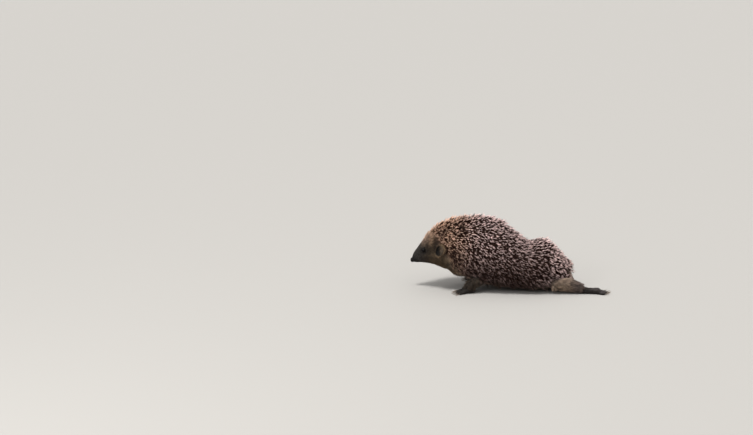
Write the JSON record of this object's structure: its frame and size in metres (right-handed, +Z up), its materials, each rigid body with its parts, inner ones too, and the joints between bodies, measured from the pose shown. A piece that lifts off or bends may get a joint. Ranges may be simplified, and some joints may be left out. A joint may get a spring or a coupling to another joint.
{
  "type": "hedgehog model",
  "caption": "Life-size still model of an adult European hedgehog, climbing with its head low and its left hind leg stretched out behind.",
  "frame": {"origin": "middle of the bounding box's footprint, on the floor that the feet rest on", "axes": "+Z up, -X the way the animal faces, -Y its left side"},
  "size_m": [0.3085, 0.1068, 0.114],
  "materials": {
    "spines": "keratin spines, dark brown with pale bases and tips",
    "body_fur": "coarse grey-brown guard hair",
    "face_fur": "short dark brown hair, paler on the brow",
    "leg_fur": "short grey-brown hair",
    "ear_skin": "thin dark skin with fine hair",
    "foot_skin": "dark wrinkled skin, nearly bare",
    "claw": "worn horn, paler at the tip",
    "eye": "wet black",
    "nose_pad": "moist black, pebbled"
  },
  "bodies": {
    "root": {"claw_fore_left_1": "claw", "claw_fore_left_2": "claw", "claw_fore_left_3": "claw", "claw_fore_left_4": "claw", "claw_fore_left_5": "claw", "claw_fore_right_1": "claw", "claw_fore_right_2": "claw", "claw_fore_right_3": "claw", "claw_fore_right_4": "claw", "claw_fore_right_5": "claw", "claw_hind_left_1": "claw", "claw_hind_left_2": "claw", "claw_hind_left_3": "claw", "claw_hind_left_4": "claw", "claw_hind_left_5": "claw", "claw_hind_right_1": "claw", "claw_hind_right_2": "claw", "claw_hind_right_3": "claw", "claw_hind_right_4": "claw", "claw_hind_right_5": "claw", "ear_left": "ear_skin", "ear_right": "ear_skin", "eye_left": "eye", "eye_right": "eye", "foot_fore_left": "foot_skin", "foot_fore_right": "foot_skin", "foot_hind_left": "foot_skin", "foot_hind_right": "foot_skin", "head": "face_fur", "leg_fore_left": "leg_fur", "leg_fore_right": "leg_fur", "leg_hind_left": "leg_fur", "leg_hind_right": "leg_fur", "mantle": "spines", "neck": "body_fur", "nose": "nose_pad", "tail": "body_fur", "trunk": "body_fur"}
  },
  "joints": []
}
